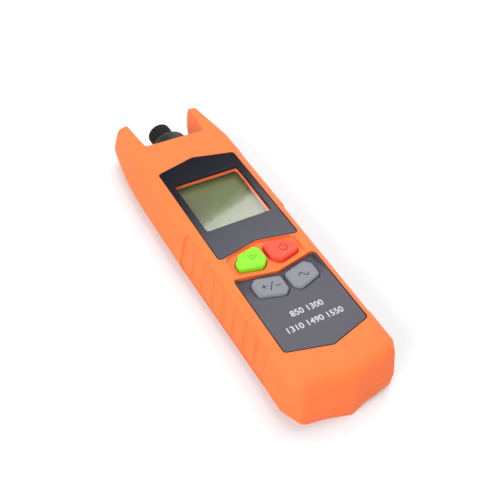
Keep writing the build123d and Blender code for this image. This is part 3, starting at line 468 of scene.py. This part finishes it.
def cross_slot(place, length=0.0026, width=0.00065, depth=0.0010):
    """Two crossing wedges that reach up into a screw head from below."""
    shape = bmesh.new()
    for angle in (0, pi / 2):
        wedge = bmesh.ops.create_cube(shape, size=1.0)["verts"]
        bmesh.ops.scale(shape, vec=(length, width, 2 * depth), verts=wedge)
        tip = [v for v in wedge if v.co.z > 0]
        bmesh.ops.scale(shape, vec=(0.45, 0.7, 1.0), verts=tip)
        bmesh.ops.rotate(shape, cent=(0, 0, 0), matrix=Matrix.Rotation(angle, 3, "Z"), verts=wedge)
        bmesh.ops.translate(shape, vec=(*place, HEAD_FACE), verts=wedge)
    mesh = bpy.data.meshes.new("cross_slot")
    shape.to_mesh(mesh)
    shape.free()
    return mesh


for place in SCREW_PLACES:
    cut_out(finished["case_screws"], cross_slot(place))
print("case screw faces with slots:", len(finished["case_screws"].data.polygons))

# %% Thread on the fibre port
THREAD_RIDGES = 630.0
thread = finish("nickel_thread", (0.68, 0.66, 0.60), 0.25, metallic=1.0)
nodes = thread.node_tree.nodes
link = thread.node_tree.links.new
place = nodes.new("ShaderNodeTexCoord")
turns = nodes.new("ShaderNodeTexWave")
turns.bands_direction = "Y"
turns.inputs["Scale"].default_value = THREAD_RIDGES
link(place.outputs["Object"], turns.inputs["Vector"])
ridge = nodes.new("ShaderNodeBump")
ridge.inputs["Strength"].default_value = 0.8
ridge.inputs["Distance"].default_value = 0.0002
link(turns.outputs["Fac"], ridge.inputs["Height"])
link(nodes["Bump"].outputs["Normal"], ridge.inputs["Normal"])
link(ridge.outputs["Normal"], nodes["Principled BSDF"].inputs["Normal"])
finished["fiber_adapter"].data.materials[0] = thread
print("thread:", thread.name)

# %% [markdown]
# ## Table and light
# The table is a white plane. A studio has pale walls and a darker ceiling, so the world is white near
# the horizon and grey overhead. The glossy panel needs exactly that: it mirrors the dark ceiling at
# its far end and the softbox at its near end. The edge of the overhead box is placed so that its
# mirror image crosses the display. A second lamp at the left front lights the flank and the horns.

# %% A helper for the Light Path of background surfaces
def seen_by_eye(nodes, link):
    """One for camera, glossy and transmission rays, so mirrors and glass show the background too."""
    ray = nodes.new("ShaderNodeLightPath")
    first = nodes.new("ShaderNodeMath")
    first.operation = "MAXIMUM"
    second = nodes.new("ShaderNodeMath")
    second.operation = "MAXIMUM"
    link(ray.outputs["Is Camera Ray"], first.inputs[0])
    link(ray.outputs["Is Glossy Ray"], first.inputs[1])
    link(first.outputs["Value"], second.inputs[0])
    link(ray.outputs["Is Transmission Ray"], second.inputs[1])
    return second.outputs["Value"]


# %% Floor
TABLE_GAP = 0.00005
TABLE_GLOW = 0.20
TABLE_PAINT = (0.615, 0.665, 0.685, 1)
bpy.ops.mesh.primitive_plane_add(size=8.0, location=(0, 0, -TABLE_GAP))
floor = bpy.context.object
floor.name = "white_table"
table = bpy.data.materials.new("white_table")
table.use_nodes = True
nodes = table.node_tree.nodes
link = table.node_tree.links.new
nodes.clear()
paint = nodes.new("ShaderNodeBsdfDiffuse")
paint.inputs["Color"].default_value = TABLE_PAINT
glow = nodes.new("ShaderNodeEmission")
both = nodes.new("ShaderNodeAddShader")
out = nodes.new("ShaderNodeOutputMaterial")
level = nodes.new("ShaderNodeMath")
level.operation = "MULTIPLY"
level.inputs[1].default_value = TABLE_GLOW
link(seen_by_eye(nodes, link), level.inputs[0])
link(level.outputs["Value"], glow.inputs["Strength"])
link(paint.outputs["BSDF"], both.inputs[0])
link(glow.outputs["Emission"], both.inputs[1])
link(both.outputs["Shader"], out.inputs["Surface"])
floor.data.materials.append(table)
print("table:", floor.name)

# %% Studio walls
WALL_LEVEL = 1.15
CEILING_LEVEL = 0.22
WALL_TOP = radians(18)
CEILING_START = radians(38)
world = bpy.data.worlds.new("studio")
bpy.context.scene.world = world
world.use_nodes = True
nodes = world.node_tree.nodes
link = world.node_tree.links.new
view = nodes.new("ShaderNodeTexCoord")
axes = nodes.new("ShaderNodeSeparateXYZ")
link(view.outputs["Generated"], axes.inputs["Vector"])
fade = nodes.new("ShaderNodeMapRange")
fade.interpolation_type = "SMOOTHSTEP"
fade.inputs["From Min"].default_value = sin(WALL_TOP)
fade.inputs["From Max"].default_value = sin(CEILING_START)
fade.inputs["To Min"].default_value = WALL_LEVEL
fade.inputs["To Max"].default_value = CEILING_LEVEL
link(axes.outputs["Z"], fade.inputs["Value"])
link(fade.outputs["Result"], nodes["Background"].inputs["Strength"])
nodes["Background"].inputs["Color"].default_value = (1, 1, 1, 1)
print("studio: walls", WALL_LEVEL, "ceiling", CEILING_LEVEL)

# %% Softboxes
def softbox(name, place, turn, width, depth, power):
    """A rectangular lamp whose light leaves along its own -Z."""
    data = bpy.data.lights.new(name, "AREA")
    data.shape = "RECTANGLE"
    data.size = width
    data.size_y = depth
    data.energy = power
    lamp = bpy.data.objects.new(name, data)
    lamp.matrix_world = Matrix.Translation(place) @ turn
    bpy.context.scene.collection.objects.link(lamp)
    return lamp


def facing(place, target=(0, 0, 0.01)):
    """The turn that points a lamp at a target."""
    return (Vector(target) - Vector(place)).to_track_quat("-Z", "Y").to_matrix().to_4x4()


BOX_HEIGHT = 1.0
BOX_SIDE = 1.0
BOX_EDGE = Vector((0.25, 0.797, BOX_HEIGHT))
BOX_TURN = radians(17.3)
across = Vector((-sin(BOX_TURN), cos(BOX_TURN), 0))
box_place = BOX_EDGE - across * BOX_SIDE / 2
softbox("overhead_box", box_place, Matrix.Rotation(BOX_TURN, 4, "Z"), BOX_SIDE, BOX_SIDE, 12.5)
left_front = Vector((-1.05, -0.38, 0.75))
softbox("left_box", left_front, facing(left_front), 0.8, 0.6, 11.5)
print("lamps:", len(bpy.data.lights), "overhead box centre:", [round(v, 2) for v in box_place])
